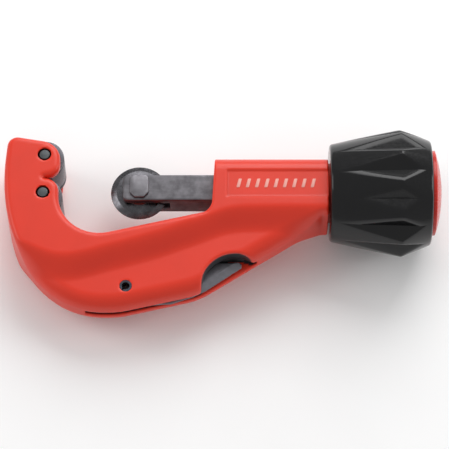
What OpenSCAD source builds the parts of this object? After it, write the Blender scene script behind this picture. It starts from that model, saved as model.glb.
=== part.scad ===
// Constant-swing pipe cutter, lying on its side.
// The feed axis is X, with the handwheel at +X. +Y leads out of the open mouth of
// the C-frame, and Z runs through the thickness. The origin is on the feed axis,
// level with the two rollers. All sizes are in millimetres.

/* [Frame] */
// Half thickness of the hook, arm and housing
frame_half = 11.5; // [10:0.1:14]
// Half thickness of the lower grip
grip_half = 7; // [5.5:0.1:9]
// Height of the housing above the feed axis
housing_top = 9.4; // [8.5:0.1:12]
// X of the housing's front face at the feed axis
housing_front = 56.9; // [55:0.1:60]
// X of the housing's rear face
housing_rear = 95.45; // [94:0.1:110]
// Edge radius along the hook and the arm
edge_r = 1.8; // [0.8:0.1:2.5]
// Edge radius along the top of the housing
top_edge_r = 6; // [2:0.1:6.5]
// Edge radius along the underside of the grip
grip_edge_r = 5; // [2:0.1:5]
// Radius of the neck that carries the handwheel
neck_r = 10; // [9:0.1:12]
// Depth of the two badge recesses
badge_depth = 0.4; // [0.2:0.05:0.8]

/* [Rollers] */
// Radius of each roller
roller_r = 6.4; // [5.4:0.1:7]
// Length of each roller
roller_len = 15.4; // [13:0.1:16.5]
// Radius of the roller pins
roller_pin_r = 1.75; // [1.4:0.05:2.1]

/* [Cutter wheel] */
// Radius of the cutter wheel
wheel_r = 9.65; // [8:0.05:9.8]
// Width of the wheel's hub
wheel_hub = 4; // [3:0.1:4.6]
// X of the wheel's axle
wheel_x = 31.9; // [31:0.1:34]
// Radius of the wheel's axle
axle_r = 2.3; // [1.8:0.05:2.6]

/* [Slide and feed screw] */
// Side of the square slide
slide_w = 9.5; // [8.5:0.1:10]
// X of the slide's rear end
slide_rear = 83; // [78:0.1:83]
// Crest radius of the feed screw's thread
screw_r = 3; // [2.2:0.05:3.2]
// Radius of the screw's thrust collar
collar_r = 6; // [5.2:0.1:6.2]
// Radius of the screw's journal in its bush
journal_r = 4; // [3.6:0.05:4.4]

/* [Handwheel] */
// Length of the handwheel
knob_len = 34.2; // [31:0.1:40]
// Radius of the handwheel's ridge
knob_r = 21.7; // [19.5:0.1:26]
// Radius of the handwheel's front rim
knob_front_r = 16.4; // [15.5:0.1:19]
// Radius of the handwheel's rear rim
knob_rear_r = 17.5; // [16:0.1:20]
// Depth of the finger recesses below the ridge
flute_depth = 3.2; // [1.5:0.1:3.6]
// Radius of the end cap
cap_r = 14.4; // [13.6:0.1:15.4]

/* [Reamer] */
// Thickness of the folding blade
blade_t = 1.6; // [1:0.1:2]
// Radius of the blade's round tang
tang_r = 4.6; // [3.8:0.1:5]
// Outer radius of the spring pin
spring_pin_r = 2; // [1.6:0.05:2.3]

/* [Hidden] */
$fn = 96;

running = 0.05;   // radial clearance of a running fit
sliding = 0.1;    // clearance all round a sliding piece
side_gap = 0.15;  // clearance at each end of a roller or hub
eps = 0.02;

// Roller axes, symmetrical about a line a little above the feed axis
roller_upper = [0.155, 9.3];
roller_lower = [-0.155, -4.55];

// Outline of the frame
back_c = [20.6, 2.05];        // centre of the superellipse behind the hook
back_a = 33.8;                // its half width
back_b = 46.3;                // its half height
back_n = 2.1;                 // its exponent
arm_slope = 0.228;            // rise of the arm's upper edge per mm
belly_slope = 0.64;           // rise of the grip's underside towards the handwheel
throat_x = 5.05;              // X of the throat's straight side, under the rollers
lobe_x = 5.4;                 // X of the upper ear's straight side
lean = 0.057;                 // lean of the housing's front face
arm_y = -17.95 - 25.2 * arm_slope;       // the arm's edge extended to X = 0
belly_y = -29.75 - 65.1 * belly_slope;   // the belly's edge extended to X = 0
chin_y = -11.65;              // underside of the housing at its rear

// Step between the thick upper part and the thin grip: the middle of the slope
step_line = [[-24, -21.5], [-9, -25], [6.2, -30.3], [22.7, -26.8], [39.2, -22], [50.8, -17.6],
             [62.5, -13.3], [74, -12.6], [86, -12.55], [97, -12.55], [108, -12.55]];
crest = 4;                    // from the middle of the slope up to the thick part
foot = 5;                     // from the middle of the slope down to the grip

// Slot of the folding blade
pivot = [27.9, -36.75];
blade_slot = blade_t + 0.8;

// Sunk badge panel on each side of the housing
badge_x = housing_front + 4.6;
badge_y = -6.2;
badge_h = 9.7;

// Room round the lower roller, and the recessed ends of the roller pins
roller_room = [1.2, 0.9];
pin_recess = 0.35;
pin_counterbore = 0.8;
through = 40;       // length of a cut that goes right through
thumb_c = [64.3, -36.3];
thumb_r = 11.4;

// Inside of the housing, in order along the feed axis
slide_front = wheel_x - 5.6;
wheel_slot_end = wheel_x + wheel_r + 0.65;
screw_bore_start = wheel_slot_end + 1.2;
travel_back = 14.4;
screw_tip = screw_bore_start + travel_back + 0.5;
shoulder_x = slide_rear + travel_back + 1.1;
washer_t = 0.8;
collar_x = shoulder_x + washer_t + running;
collar_t = 2;
rear_washer_x = collar_x + collar_t + running;
bush_x = rear_washer_x + washer_t;
counterbore_r = slide_w / 2 * sqrt(2) + 0.48;
knob_x = housing_rear + 0.55;
knob_end = knob_x + knob_len;

// Inside of the handwheel, placed from the cap back to the neck
cap_x = knob_end + 0.1;
cap_t = 3.6;
cap_bore_r = 12.6;
skirt_len = 2.6;
post_r = 3.6;       // post on the cap, and head of the screw, that hold the spare wheel
post_len = 1.9;
spare_head_t = 1.3;
spare_screw_r = 1.3;
spare_x = cap_x - post_len - wheel_hub / 2;
stud_end = spare_x - wheel_hub / 2 - spare_head_t - 0.3;
stud_r = 2.5;
nut_t = 3.4;
nut_x = stud_end - 0.6 - nut_t;
web_t = 6;
web_end = nut_x - washer_t;
web_x = web_end - web_t;
insert_r = 6.5;
square_w = 6;
neck_end = web_x - 1.5;
ring_x = neck_end - 2;
ring_t = 1;
bush_len = ring_x - bush_x;   // the bush takes up what is left of the neck

// ---- outline helpers ----
function unit(v) = v / norm(v);
function arc(c, r, a0, a1, n) = [for (i = [0:n]) let (a = a0 + (a1 - a0) * i / n) c + r * [cos(a), sin(a)]];

// Round corner q between p and s with radius r, as n + 1 points
function corner(p, q, s, r, n = 6) =
    let (u = unit(p - q), v = unit(s - q), half = acos(u * v) / 2,
         reach = r / tan(half), mid = unit(u + v), c = q + mid * (r / sin(half)),
         a = q + u * reach - c, b = q + v * reach - c,
         a0 = atan2(a[1], a[0]), turn = atan2(a[0] * b[1] - a[1] * b[0], a * b))
    arc(c, r, a0, a0 + turn, n);

// Rounded path through corners given as [x, y, r]
function rounded(path) =
    [for (i = [1:len(path) - 2])
        let (p = [path[i - 1][0], path[i - 1][1]], q = [path[i][0], path[i][1]],
             s = [path[i + 1][0], path[i + 1][1]], r = path[i][2])
        each (r > 0 ? corner(p, q, s, r, r > 10 ? 6 : r > 3 ? 5 : 2) : [q])];

function power(v, e) = sign(v) * pow(abs(v), e);
function back_point(t) =
    back_c - [back_a * power(cos(t), 2 / back_n), back_b * power(sin(t), 2 / back_n)];
function arm_at(x) = arm_y + arm_slope * x;
function belly_at(x) = belly_y + belly_slope * x;
function front_at(y) = housing_front + lean * y;

back_curve = [for (i = [0:16]) back_point(-9 + 99 * i / 16)];
bottom_y = back_c[1] - back_b;
ear_top = roller_upper[1] + 5.2;
front_corner_y = arm_at(housing_front - 0.6);
outline = concat(
    back_curve,
    rounded([[20, bottom_y], [25.4, bottom_y, 30], [52, belly_at(52), 25],
             [(chin_y - belly_y) / belly_slope, chin_y, 3],
             [housing_rear, chin_y, 0], [housing_rear, housing_top, 0],
             [front_at(housing_top), housing_top, 0], [front_at(front_corner_y), front_corner_y, 4.3],
             [throat_x, arm_at(throat_x), 13.8], [throat_x, 0.5, 4.6],
             [-0.6, 0.95, 0.15], [lobe_x, 2.55, 4.2], [lobe_x, ear_top - 0.6, 5],
             [-12.3, 16.9, 2], [-12.6, 12]]));

// Height of the step line at x, as a smooth curve through its points
function smooth(t) = t * t * (3 - 2 * t);
function catmull(a, b, c, d, t) =
    b + (c - a) * t / 2 + (a - 2.5 * b + 2 * c - d / 2) * t * t + (1.5 * (b - c) + (d - a) / 2) * t * t * t;
function step_at(x, i = 1) =
    x <= step_line[i + 1][0] || i >= len(step_line) - 3
        ? catmull(step_line[i - 1][1], step_line[i][1], step_line[i + 1][1], step_line[i + 2][1],
                  (x - step_line[i][0]) / (step_line[i + 1][0] - step_line[i][0]))
        : step_at(x, i + 1);

// Half thickness and edge radius that the outline has at a point
function thin(p) = smooth(min(1, max(0, (step_at(p[0]) + crest - p[1]) / (crest + foot))));
function half_at(p) = frame_half + (grip_half - frame_half) * thin(p);
function on_top(p) = p[1] > housing_top - 0.01 && p[0] > housing_front;
function on_rear(p) = p[0] > housing_rear - 0.01;
function edge_at(p) = on_top(p) ? top_edge_r : edge_r + (grip_edge_r - edge_r) * thin(p);

// How far the edge has drawn in at height z
function inset(z, half, r) =
    let (h = min(r, max(0, abs(z) - half + r))) r - sqrt(r * r - h * h);

// Direction in which the edge draws in: square to the outline, but straight down or up at the housing's ends
function inward(points, i) =
    let (n = len(points), d = points[(i + 1) % n] - points[(i + n - 1) % n])
    on_top(points[i]) ? [0, -1] : on_rear(points[i]) ? [0, 1] : unit([-d[1], d[0]]);

// Layers that build up the rounded edges: half thickness, and the height whose inset it takes
layers = [[4, 0], [grip_half, grip_half * 0.83], [9.3, 8.4], [frame_half, frame_half * 0.94]];

// ---- shapes used more than once ----
module along_x(x) translate([x, 0, 0]) rotate([0, 90, 0]) children();
module disc_x(x, t, r) along_x(x) cylinder(h = t, r = r);
module ring_plate(x, t, outer, inner) difference() {
    disc_x(x, t, outer);
    disc_x(x - 1, t + 2, inner);
}
module at_axis(p) translate([p[0], p[1], 0]) children();

// One layer of the frame: the outline drawn in by its edge radius at height z
module layer(half, z, step) {
    n = len(outline);
    translate([0, 0, -half]) linear_extrude(2 * half) polygon(
        [for (i = [0:n - 1])
            let (p = outline[i]) p + inward(outline, i) * (step + inset(z, half_at(p), edge_at(p)))]);
}

// Everything on the grip's side of the step line, moved by shift along Y
module below_step(shift) {
    translate([0, 0, -20]) linear_extrude(40) polygon(concat(
        [for (i = [0:14]) let (x = -20 + 9 * i) [x, step_at(x) + shift]], [[106, -60], [-20, -60]]));
}
module thick_layer(half, z, step, shift) difference() {
    layer(half, z, step);
    below_step(shift);
}

module badge_cut() {
    translate([badge_x, badge_y, frame_half - badge_depth])
        cube([housing_rear - badge_x + 1, badge_h, badge_depth + 1]);
}

// Flat slot for the folding blade: it opens along the grip's underside
module blade_slot_cut() {
    translate([0, 0, -blade_slot / 2]) linear_extrude(blade_slot)
        polygon([[14.4, -50], [14.4, -37.5], [18, -33.6], [23, -31], [34, -29.4], [46, -27.4],
                 [56, -24.6], [64, -23.6], [71.3, -24.6], [71.3, -50]]);
}

// ---- sub-parts ----
module frame() color([0.84, 0.23, 0.17]) difference() {
    union() {
        layer(layers[0][0], layers[0][1], 0);
        layer(layers[1][0], layers[1][1], 0.04);
        thick_layer(layers[2][0], layers[2][1], 0.08, -foot / 2);
        thick_layer(layers[3][0], layers[3][1], 0.12, crest / 2);
        disc_x(housing_rear - 5, neck_end - housing_rear + 5, neck_r);
    }
    // slot between the ears for the rollers
    translate([roller_lower[0] - roller_r - roller_room[0], roller_lower[1] - roller_r - roller_room[1],
               -roller_len / 2 - side_gap])
        cube([30, through, roller_len + 2 * side_gap]);
    for (p = [roller_upper, roller_lower]) at_axis(p) {
        cylinder(h = through, r = roller_pin_r, center = true);
        for (s = [-1, 1]) translate([0, 0, s * frame_half])
            cylinder(h = 2 * pin_counterbore, r = roller_pin_r + 0.5, center = true);
    }
    // way of the square slide
    translate([housing_front - 4, -slide_w / 2 - sliding, -slide_w / 2 - sliding])
        cube([shoulder_x - housing_front + 4, slide_w + 2 * sliding, slide_w + 2 * sliding]);
    disc_x(shoulder_x, through, counterbore_r);
    disc_x(ring_x - eps, ring_t + 0.1, counterbore_r + 0.55);
    badge_cut();
    mirror([0, 0, 1]) badge_cut();
    blade_slot_cut();
    at_axis(pivot) cylinder(h = through, r = spring_pin_r, center = true);
    at_axis(thumb_c) cylinder(h = through, r = thumb_r);
}

module roller() color([0.62, 0.62, 0.64]) rotate_extrude() {
    groove = 0.5;
    half = roller_len / 2;
    bore = roller_pin_r + running;
    polygon([[bore, -half], [roller_r - 0.4, -half], [roller_r, -half + 0.4], [roller_r, -half + 1.2],
             [roller_r - groove, -half + 1.3], [roller_r - groove, -half + 1.8], [roller_r, -half + 1.9],
             [roller_r, half - 1.9], [roller_r - groove, half - 1.8], [roller_r - groove, half - 1.3],
             [roller_r, half - 1.2], [roller_r, half - 0.4], [roller_r - 0.4, half], [bore, half]]);
}
module roller_upper() at_axis(roller_upper) roller();
module roller_lower() at_axis(roller_lower) roller();

module roller_pin() color([0.34, 0.36, 0.37]) rotate_extrude() {
    half = frame_half - pin_recess;
    polygon([[0, -half], [roller_pin_r - 0.25, -half], [roller_pin_r, -half + 0.25],
             [roller_pin_r, half - 0.25], [roller_pin_r - 0.25, half], [0, half]]);
}
module roller_pin_upper() at_axis(roller_upper) roller_pin();
module roller_pin_lower() at_axis(roller_lower) roller_pin();

nose_r = 2;           // corner radius of the slide's two fork arms
module feed_slide() color([0.3, 0.3, 0.31]) difference() {
    half = slide_w / 2;
    translate([0, 0, -half]) linear_extrude(slide_w) polygon(concat(
        [[slide_rear - 0.5, -half], [slide_rear, -half + 0.5], [slide_rear, half - 0.5], [slide_rear - 0.5, half]],
        arc([slide_front + nose_r, half - nose_r], nose_r, 90, 180, 8),
        arc([slide_front + nose_r, -half + nose_r], nose_r, 180, 270, 8)));
    translate([slide_front - 1, -half - 1, -wheel_hub / 2 - side_gap])
        cube([wheel_slot_end - slide_front + 1, slide_w + 2, wheel_hub + 2 * side_gap]);
    translate([wheel_x, 0, -half - 1]) cylinder(h = slide_w + 2, r = axle_r);
    disc_x(screw_bore_start, through, screw_r + running);
}

wheel_boss_r = axle_r + 2.3;
wheel_web = 1.35;   // half thickness of the web next to the boss
module cutter_disc() rotate_extrude() {
    bore = axle_r + running;
    half = wheel_hub / 2;
    side = [[bore, half], [wheel_boss_r, half], [wheel_boss_r + 0.3, wheel_web],
            [wheel_r - 1.9, wheel_web * 0.8], [wheel_r, 0.06]];
    polygon(concat(side, [for (i = [len(side) - 1:-1:0]) [side[i][0], -side[i][1]]]));
}
module cutter_wheel() color([0.4, 0.4, 0.42]) translate([wheel_x, 0, 0]) cutter_disc();

// Eight-sided head of the axle, a little taller than it is wide
axle_head_t = 0.85;
axle_head = let (w = axle_r + 0.9, top = slide_w / 2 - 0.35, bottom = 0.95 - slide_w / 2)
    [[w, bottom + 1.8], [w, top - 1], [w - 1, top], [1 - w, top], [-w, top - 1], [-w, bottom + 1.8],
     [-w / 2, bottom], [w / 2, bottom]];
clip_t = 0.7;
clip_r = axle_r + 1.8;
groove_depth = 0.5;   // of the clip's groove in the axle
module wheel_axle() color([0.45, 0.45, 0.46]) translate([wheel_x, 0, 0]) {
    half = slide_w / 2;
    difference() {
        union() {
            translate([0, 0, -half - 1.9]) cylinder(h = slide_w + 1.95, r = axle_r);
            translate([0, 0, half]) linear_extrude(axle_head_t) polygon(axle_head);
        }
        translate([0, 0, -half - 1.05]) difference() {
            cylinder(h = clip_t + 0.1, r = clip_r);
            translate([0, 0, -1]) cylinder(h = 3, r = axle_r - groove_depth);
        }
    }
}
module axle_clip() color([0.35, 0.35, 0.36]) translate([wheel_x, 0, -slide_w / 2 - 1]) difference() {
    cylinder(h = clip_t, r = clip_r);
    translate([0, 0, -1]) cylinder(h = 3, r = axle_r - groove_depth + eps);
    translate([0, -1.3, -1]) cube([10, 2.6, 3]);
    for (s = [-1, 1]) rotate(s * 115) translate([clip_r - 1, 0, -1]) cylinder(h = 3, r = 0.9);
}

// Thread crests of the feed screw stand as a plain cylinder
module feed_screw() color([0.55, 0.55, 0.57]) {
    along_x(screw_tip) cylinder(h = 0.8, r1 = screw_r - 0.8, r2 = screw_r);
    disc_x(screw_tip + 0.8, collar_x - screw_tip - 0.8, screw_r);
    disc_x(collar_x, collar_t, collar_r);
    disc_x(collar_x + collar_t, web_x - 0.1 - collar_x - collar_t, journal_r);
    translate([web_x - 0.1, -square_w / 2, -square_w / 2]) cube([web_t + 0.1, square_w, square_w]);
    disc_x(web_end, stud_end - web_end, stud_r);
}
module thrust_washer_front() color([0.75, 0.76, 0.78])
    ring_plate(shoulder_x, washer_t, counterbore_r - 0.1, screw_r + 0.4);
module thrust_washer_rear() color([0.75, 0.76, 0.78])
    ring_plate(rear_washer_x, washer_t, counterbore_r - 0.1, journal_r + 0.3);
module bearing_bush() color([0.72, 0.55, 0.3])
    ring_plate(bush_x, bush_len, counterbore_r, journal_r + running);
module retaining_ring() color([0.35, 0.35, 0.36]) difference() {
    ring_plate(ring_x, ring_t, counterbore_r + 0.5, journal_r + 1.3);
    translate([ring_x - 1, -1.5, 0]) cube([ring_t + 2, 3, 20]);
}

// Handwheel: a double cone of revolution with twelve four-sided finger recesses
ridge_place = 24;     // from the front rim to the ridge
ridge_x = knob_x + ridge_place;
front_tip_x = knob_x + 1.9;
rear_tip_x = knob_end - 3;
front_cone = (knob_r - knob_front_r) / ridge_place;
rear_cone = (knob_r - knob_rear_r) / (knob_end - ridge_x);
flutes = 12;
flute_half_angle = 12.8;
function skin_r(x) = x < ridge_x ? knob_front_r + front_cone * (x - knob_x) : knob_r - rear_cone * (x - ridge_x);
module flute_cut() {
    deep = [ridge_x, 0, knob_r - flute_depth];
    side = (knob_r + 0.3) * [0, sin(flute_half_angle), cos(flute_half_angle)];
    corners = [[front_tip_x, 0, skin_r(front_tip_x)], [ridge_x, side[1], side[2]],
               [rear_tip_x, 0, skin_r(rear_tip_x)], [ridge_x, -side[1], side[2]]];
    out = [for (c = corners) deep + 1.5 * (c - deep)];
    polyhedron(concat([deep], out), [[0, 2, 1], [0, 3, 2], [0, 4, 3], [0, 1, 4], [1, 2, 4], [2, 3, 4]]);
}
module knob() color([0.09, 0.09, 0.1]) difference() {
    front = 1.2;
    rear = 2.2;
    rotate([0, 90, 0]) rotate_extrude() polygon(concat(
        [[0, knob_x]], [[skin_r(knob_x) - front, knob_x], [skin_r(knob_x + front), knob_x + front],
        [knob_r - 0.25, ridge_x - 1.2], [knob_r - 0.1, ridge_x], [knob_r - 0.4, ridge_x + 1],
        [skin_r(knob_end - rear), knob_end - rear], [skin_r(knob_end) - 0.5, knob_end - 0.7],
        [skin_r(knob_end) - rear, knob_end]], [[0, knob_end]]));
    for (i = [0:flutes - 1]) rotate([i * 360 / flutes, 0, 0]) flute_cut();
    disc_x(knob_x - 1, web_x - knob_x + 1, neck_r + sliding);
    along_x(web_x - 1) cylinder(h = web_t + 2, r = insert_r / cos(30), $fn = 6);
    disc_x(web_end, through, cap_bore_r);
}
module knob_insert() color([0.5, 0.5, 0.52]) difference() {
    along_x(web_x) cylinder(h = web_t, r = insert_r / cos(30), $fn = 6);
    translate([web_x - 1, -square_w / 2, -square_w / 2]) cube([web_t + 2, square_w, square_w]);
}
module friction_washer() color([0.6, 0.6, 0.62])
    ring_plate(web_x - 1.2, 1.2, neck_r - 0.6, journal_r + 1);
module knob_washer() color([0.75, 0.76, 0.78]) ring_plate(web_end, washer_t, 6, stud_r);
module knob_nut() color([0.7, 0.7, 0.72]) difference() {
    along_x(nut_x) cylinder(h = nut_t, r = 4 / cos(30), $fn = 6);
    disc_x(nut_x - 1, nut_t + 2, stud_r);
}

// End cap: a low dome with a snap skirt, and a post for the spare wheel
module knob_cap() color([0.75, 0.14, 0.1]) difference() {
    rim = 1.3;
    dome_h = cap_t - rim;
    dome_r = (cap_r * cap_r + dome_h * dome_h) / (2 * dome_h);
    union() {
        disc_x(cap_x, rim, cap_r);
        rotate([0, 90, 0]) rotate_extrude() polygon(concat([[0, cap_x + rim - eps]],
            [for (i = [0:12]) let (y = cap_r * (1 - i / 12))
                [y, cap_x + rim + sqrt(dome_r * dome_r - y * y) - dome_r + dome_h]]));
        difference() {
            disc_x(cap_x - skirt_len, skirt_len + 0.1, cap_bore_r - 0.1);
            disc_x(cap_x - skirt_len - 1, skirt_len + 1, cap_bore_r - 1.4);
        }
        disc_x(spare_x + wheel_hub / 2 + 0.1, cap_x - spare_x - wheel_hub / 2, post_r);
    }
    disc_x(spare_x, cap_x + 2 - spare_x, spare_screw_r);
}
module spare_wheel() color([0.4, 0.4, 0.42]) translate([spare_x, 0, 0]) rotate([0, 90, 0]) cutter_disc();
module spare_wheel_screw() color([0.6, 0.6, 0.62]) {
    shank_end = cap_x + 1;
    disc_x(spare_x - wheel_hub / 2 - spare_head_t, spare_head_t, post_r);
    disc_x(spare_x - wheel_hub / 2, wheel_hub + 0.1, axle_r);
    disc_x(spare_x + wheel_hub / 2, shank_end - spare_x - wheel_hub / 2, spare_screw_r);
}

// Folding deburring blade, lying along the slot with its edge towards the opening
module reamer_blade() color([0.5, 0.5, 0.52]) difference() {
    translate([0, 0, -blade_t / 2]) linear_extrude(blade_t) union() {
        translate(pivot) circle(r = tang_r);
        polygon([pivot + [0.9, -4.5], [43, -40.6], [50, -38.1], [54.4, -35.9], [66.3, -27.6],
                 [66.3, -26.3], [65.6, -25.8], [57.5, -26], [48, -29.2], [40, -31], [31, -32.6],
                 pivot + [1.2, 4.4]]);
    }
    at_axis(pivot) cylinder(h = 10, r = spring_pin_r + running, center = true);
}
module reamer_spring() color([0.4, 0.4, 0.42]) translate([0, 0, -0.9]) linear_extrude(1.8)
    polygon([[15, -37.3], [18.3, -34.1], [23.1, -31.6], [27.9, -30.6], [36, -29.9], [36, -30.7], [29, -31.6],
             [27.9, -31.95], [23.5, -32.6], [19, -34.9], [15.9, -38]]);
module reamer_pin() color([0.5, 0.5, 0.52]) at_axis(pivot) difference() {
    cylinder(h = 2 * grip_half - 0.4, r = spring_pin_r, center = true);
    cylinder(h = 30, r = 1.3, center = true);
    rotate(-130) translate([0, -0.25, -15]) cube([5, 0.5, 30]);
}

frame();
roller_upper();
roller_lower();
roller_pin_upper();
roller_pin_lower();
feed_slide();
cutter_wheel();
wheel_axle();
axle_clip();
feed_screw();
thrust_washer_front();
thrust_washer_rear();
bearing_bush();
retaining_ring();
knob();
knob_insert();
friction_washer();
knob_washer();
knob_nut();
knob_cap();
spare_wheel();
spare_wheel_screw();
reamer_blade();
reamer_spring();
reamer_pin();
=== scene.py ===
"""Constant-swing pipe cutter, lying on its side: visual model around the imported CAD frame.

Lengths are in millimetres in this file and become metres when a mesh is made. The feed
axis is X, +Y leads out of the mouth of the C-frame and Z runs through the thickness.
"""

import math

import bpy
import numpy as np
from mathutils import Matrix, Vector


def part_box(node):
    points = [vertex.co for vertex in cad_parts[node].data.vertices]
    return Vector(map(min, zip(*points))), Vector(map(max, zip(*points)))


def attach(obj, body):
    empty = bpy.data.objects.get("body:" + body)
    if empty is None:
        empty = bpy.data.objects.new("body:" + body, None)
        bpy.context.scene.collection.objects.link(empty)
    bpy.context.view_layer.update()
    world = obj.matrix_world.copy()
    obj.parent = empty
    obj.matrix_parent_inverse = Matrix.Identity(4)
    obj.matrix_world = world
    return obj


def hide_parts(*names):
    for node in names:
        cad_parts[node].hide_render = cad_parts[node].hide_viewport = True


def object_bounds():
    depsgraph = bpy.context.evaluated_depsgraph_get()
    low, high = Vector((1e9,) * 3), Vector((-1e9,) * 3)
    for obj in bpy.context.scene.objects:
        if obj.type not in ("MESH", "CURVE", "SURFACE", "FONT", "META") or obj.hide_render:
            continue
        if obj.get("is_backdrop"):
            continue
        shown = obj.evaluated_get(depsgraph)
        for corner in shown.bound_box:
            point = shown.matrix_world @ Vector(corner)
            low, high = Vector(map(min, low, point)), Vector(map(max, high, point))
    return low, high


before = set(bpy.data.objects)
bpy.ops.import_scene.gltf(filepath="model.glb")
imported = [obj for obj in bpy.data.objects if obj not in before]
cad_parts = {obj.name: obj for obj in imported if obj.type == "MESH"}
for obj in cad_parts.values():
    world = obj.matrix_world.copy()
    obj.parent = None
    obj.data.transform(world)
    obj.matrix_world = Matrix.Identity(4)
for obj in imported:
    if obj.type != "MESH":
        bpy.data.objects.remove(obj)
CAD_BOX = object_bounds()

bl_info = {
    "name": "Pipe cutter",
    "version": (1, 0, 0),
    "blender": (4, 5, 0),
    "location": "View3D > Sidebar > Pipe Cutter",
    "description": "Builds a constant-swing pipe cutter around its CAD frame",
    "category": "Object",
}

MM = 0.001
RIDGE_PLACE, RIDGE_R = 24.0, 21.7


def extent(node):
    """Lowest and highest corner of a CAD node, in millimetres."""
    low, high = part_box(node)
    return np.array(low) / MM, np.array(high) / MM


FRAME_LOW, FRAME_HIGH = extent("frame")
UPPER_LOW, UPPER_HIGH = extent("roller_upper")
LOWER_LOW, LOWER_HIGH = extent("roller_lower")
SLIDE_LOW, SLIDE_HIGH = extent("feed_slide")
WHEEL_LOW, WHEEL_HIGH = extent("cutter_wheel")
KNOB_LOW, KNOB_HIGH = extent("knob")
CAP_LOW, CAP_HIGH = extent("knob_cap")
REAMER_LOW, REAMER_HIGH = extent("reamer_blade")
PIVOT_LOW, PIVOT_HIGH = extent("reamer_pin")


# ---------------------------------------------------------------- sizes and colours


def length(name, text, value, low=0.01, high=200.0):
    """A size in millimetres that a user may change."""
    return bpy.props.FloatProperty(name=name, description=text, default=value, min=low, max=high)


def paint(name, text, value):
    """A colour that a user may change, from its sRGB hex value."""
    return bpy.props.FloatVectorProperty(
        name=name, description=text, default=linear(value), subtype="COLOR", size=3, min=0, max=1
    )


def linear(value):
    """Linear RGB of an sRGB hex value such as d9452f: each channel through the sRGB curve."""
    channels = [int(value[i : i + 2], 16) / 255 for i in (0, 2, 4)]
    return tuple(c / 12.92 if c <= 0.04045 else ((c + 0.055) / 1.055) ** 2.4 for c in channels)


class FrameSettings(bpy.types.PropertyGroup):
    half: length("Half thickness", "Half thickness of the hook, arm and housing", 11.5)
    grip_half: length("Grip half thickness", "Half thickness of the lower grip", 7.0)
    edge: length("Edge radius", "Edge radius along the hook and the arm", 1.8)
    grip_edge: length("Grip edge radius", "Edge radius along the underside of the grip", 5.0)
    top_edge: length("Top radius", "Edge radius along the top of the housing", 6.0)
    badge: length("Badge depth", "Depth of the sunk panel on each side of the housing", 0.4)
    cell: length("Cell", "Cell of the lattice that the cast surface is found on", 0.5, 0.3, 3.0)
    colour: paint("Powder coat", "Colour of the coated casting", "dc331c")
    # Painted shade: the near-black colour that the casting gets inside its openings, where shade falls.
    opening_shade: paint("Bare casting", "Colour of the casting inside its openings", "29272a")
    mark: paint("Mark", "Colour of the plain marks on the panel", "eea79b")


class FeedSettings(bpy.types.PropertyGroup):
    edge: length("Slide edge radius", "Edge radius of the square slide", 0.45)
    soften: length("Turned edge radius", "Edge radius of turned steel pieces", 0.15)
    groove: length("Groove depth", "Depth of the two grooves in each roller", 0.5)
    oxide: paint("Black oxide", "Colour of the blackened slide and axle", "6e6c70")
    # A lighter tone of black oxide than the slide's, given to the whole axle.
    head: paint("Axle head", "Colour of the axle's head, worn brighter than the slide", "757377")
    wheel: paint("Tool steel", "Colour of the hardened cutter wheel", "636266")
    ground: paint("Ground steel", "Colour of the rollers", "5f5d62")


class HandwheelSettings(bpy.types.PropertyGroup):
    flutes: bpy.props.IntProperty(
        name="Recesses", description="Finger recesses round the handwheel", default=12, min=3, max=24
    )
    depth: length("Recess depth", "Depth of a recess below the ridge", 3.2)
    half_angle: bpy.props.FloatProperty(
        name="Recess half angle", description="Half the angle that a recess spans at the ridge",
        default=math.radians(12.8), subtype="ANGLE", min=0.05, max=0.5,
    )
    front: length("Front radius", "Radius of the rim next to the frame", 16.4)
    rear: length("Rear radius", "Radius of the rim next to the cap", 17.5)
    ridge: length("Ridge place", "Distance of the ridge from the front rim", RIDGE_PLACE)
    colour: paint("Plastic", "Colour of the moulded handwheel", "0a0a0c")
    cap: paint("Cap", "Colour of the moulded end cap", "d22a1e")


class ReamerSettings(bpy.types.PropertyGroup):
    grind: length("Grind width", "Width of the ground bevel along the edge", 2.6)
    colour: paint("Blade steel", "Colour of the folding blade", "85848a")


class StageSettings(bpy.types.PropertyGroup):
    distance: length("Camera distance", "Distance of the camera from the tool's middle", 950.0, 100, 3000)
    elevation: bpy.props.FloatProperty(
        name="Elevation", description="Height of the camera above the horizon",
        default=math.radians(66), subtype="ANGLE",
    )
    width: length("View width", "Width that the camera sees at that distance", 151.1, 20, 600)
    floor: paint("Floor", "Colour of the floor", "ffffff")


SETTINGS = {
    "cutter_frame": FrameSettings,
    "cutter_feed": FeedSettings,
    "cutter_handwheel": HandwheelSettings,
    "cutter_reamer": ReamerSettings,
    "cutter_stage": StageSettings,
}


# ---------------------------------------------------------------- meshes


CREASE = math.radians(50)
STRAIGHT = math.radians(86)
CHUNK = 20000
NEWTON_STEPS = 3
PROBE = 0.02


def make_piece(name, points, faces, body, material, slot, *replaced):
    """A piece from points in millimetres and faces, riding on a CAD body.

    Edges that turn by more than CREASE are shaded sharp.
    """
    mesh = bpy.data.meshes.new(name)
    mesh.from_pydata((np.asarray(points) * MM).tolist(), [], [tuple(f) for f in faces])
    mesh.update()
    mesh.shade_smooth()
    mesh.set_sharp_from_angle(angle=CREASE)
    piece = bpy.data.objects.new(name, mesh)
    bpy.context.scene.collection.objects.link(piece)
    piece.data.materials.append(material)
    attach(piece, body)
    if replaced:
        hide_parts(*replaced)
    return piece


def grid_faces(rows, columns, closed_rows=False):
    """Quads between neighbouring rows of a grid whose columns go all the way round."""
    last = rows if closed_rows else rows - 1
    i, j = np.meshgrid(np.arange(last), np.arange(columns), indexing="ij")
    k, m = (i + 1) % rows, (j + 1) % columns
    quads = np.stack([i * columns + j, i * columns + m, k * columns + m, k * columns + j], -1)
    return quads.reshape(-1, 4).tolist()


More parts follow.
